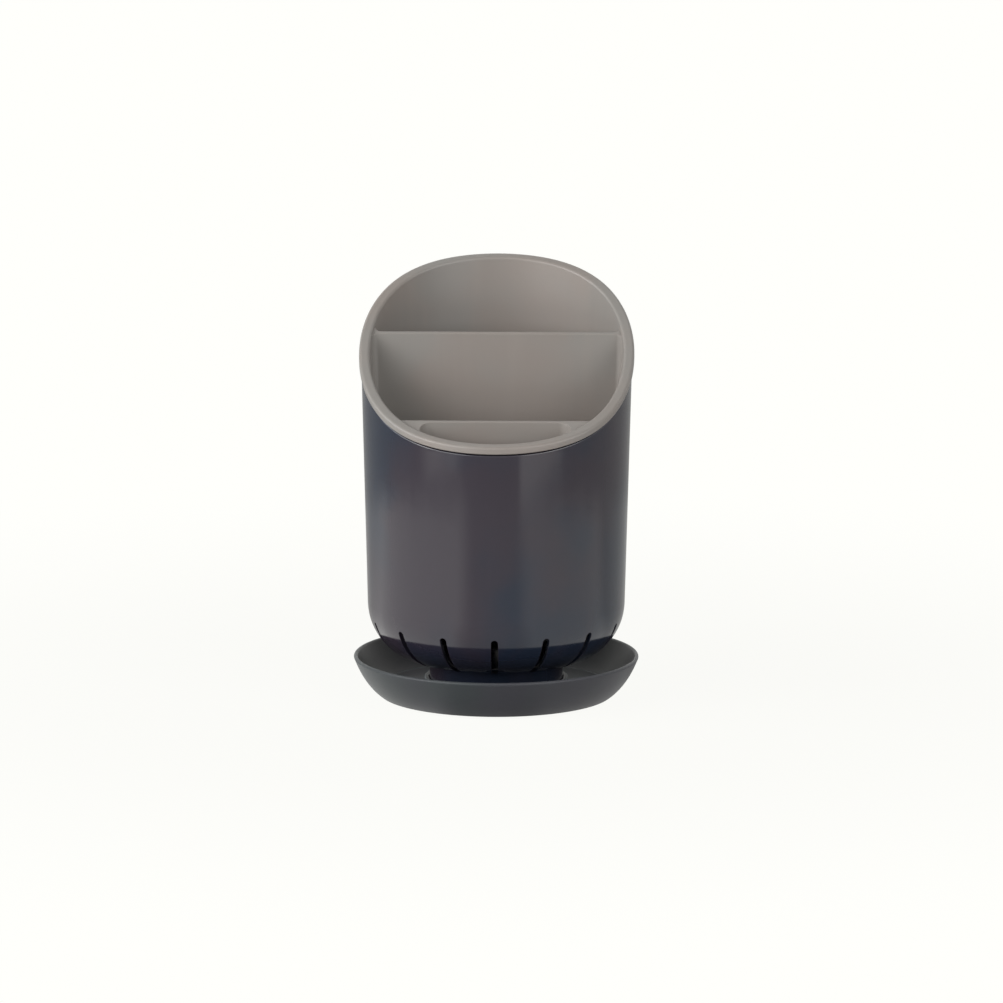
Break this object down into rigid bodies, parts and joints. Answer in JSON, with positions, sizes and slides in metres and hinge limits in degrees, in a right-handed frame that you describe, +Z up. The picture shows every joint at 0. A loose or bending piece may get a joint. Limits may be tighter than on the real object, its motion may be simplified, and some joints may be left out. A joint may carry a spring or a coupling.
{
  "type": "cutlery drainer",
  "caption": "Round upright cutlery drainer: lift-out insert with cross dividers and slanting rim, slotted tapered cup that lifts off, and a round drip tray on rubber feet.",
  "frame": {"origin": "on the table under the middle of the round drip tray", "axes": "+Z up, -Y towards the low front of the slanting mouth, +X to the right seen from the front"},
  "size_m": [0.124, 0.124, 0.1849],
  "materials": {
    "insert_plastic": "satin warm mid-grey",
    "body_plastic": "glossy dark blue-grey",
    "tray_plastic": "satin charcoal",
    "foot_rubber": "matt rubber"
  },
  "bodies": {
    "tray": {"drip_tray": "tray_plastic", "foot_back_right": "foot_rubber", "foot_back_left": "foot_rubber", "foot_front_left": "foot_rubber", "foot_front_right": "foot_rubber"},
    "body": {"drainer_body": "body_plastic"},
    "insert": {"cutlery_insert": "insert_plastic"}
  },
  "joints": [
    {"name": "body_lift", "type": "slide", "parent": "tray", "child": "body", "axis": [0, 0, 1], "range_m": [0, 0.06]},
    {"name": "insert_lift", "type": "slide", "parent": "body", "child": "insert", "axis": [0, 0, 1], "range_m": [0, 0.165]}
  ]
}
